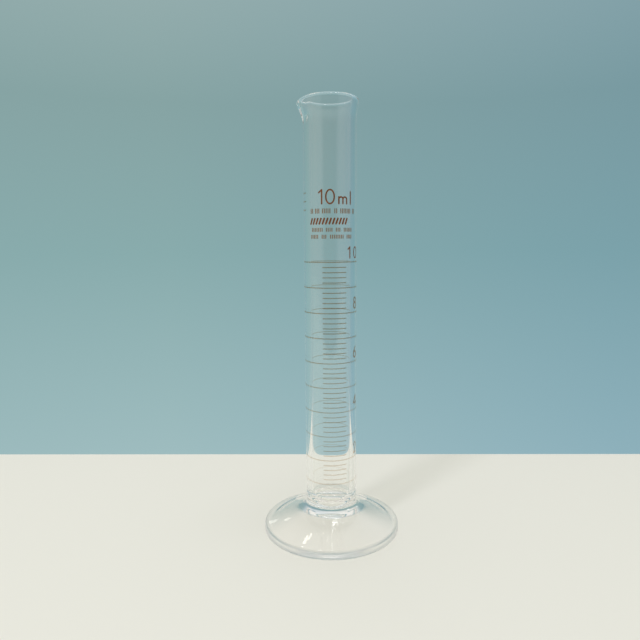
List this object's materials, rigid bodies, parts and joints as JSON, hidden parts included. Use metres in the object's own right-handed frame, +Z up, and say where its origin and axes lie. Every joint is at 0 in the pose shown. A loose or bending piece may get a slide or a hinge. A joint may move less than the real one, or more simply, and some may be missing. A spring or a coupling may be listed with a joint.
{
  "type": "graduated cylinder",
  "caption": "Tall clear glass measuring cylinder with a flared mouth, a pouring spout, a round pressed foot and a brown stained volume scale.",
  "frame": {"origin": "centre of the foot's underside, on the surface that the cylinder stands on", "axes": "+Z up along the tube's axis, -Y towards the side with the inscription and the short scale lines, -X towards the spout"},
  "size_m": [0.045, 0.045, 0.14],
  "materials": {
    "clear_glass": "fire-polished clear borosilicate glass",
    "brown_stain": "translucent brown stain fused into the glass"
  },
  "bodies": {
    "root": {"bold_row": "brown_stain", "capacity_mark": "brown_stain", "foot": "clear_glass", "measuring_tube": "clear_glass", "ring_line_01_ml": "brown_stain", "ring_line_02_ml": "brown_stain", "ring_line_03_ml": "brown_stain", "ring_line_04_ml": "brown_stain", "ring_line_05_ml": "brown_stain", "ring_line_06_ml": "brown_stain", "ring_line_07_ml": "brown_stain", "ring_line_08_ml": "brown_stain", "ring_line_09_ml": "brown_stain", "ring_line_10_ml": "brown_stain", "scale_numeral_02": "brown_stain", "scale_numeral_04": "brown_stain", "scale_numeral_06": "brown_stain", "scale_numeral_08": "brown_stain", "scale_numeral_10": "brown_stain", "short_lines_01_to_02_ml": "brown_stain", "short_lines_02_to_03_ml": "brown_stain", "short_lines_03_to_04_ml": "brown_stain", "short_lines_04_to_05_ml": "brown_stain", "short_lines_05_to_06_ml": "brown_stain", "short_lines_06_to_07_ml": "brown_stain", "short_lines_07_to_08_ml": "brown_stain", "short_lines_08_to_09_ml": "brown_stain", "short_lines_09_to_10_ml": "brown_stain", "side_lines": "brown_stain", "small_row_1": "brown_stain", "small_row_2": "brown_stain", "small_row_3": "brown_stain"}
  },
  "joints": []
}
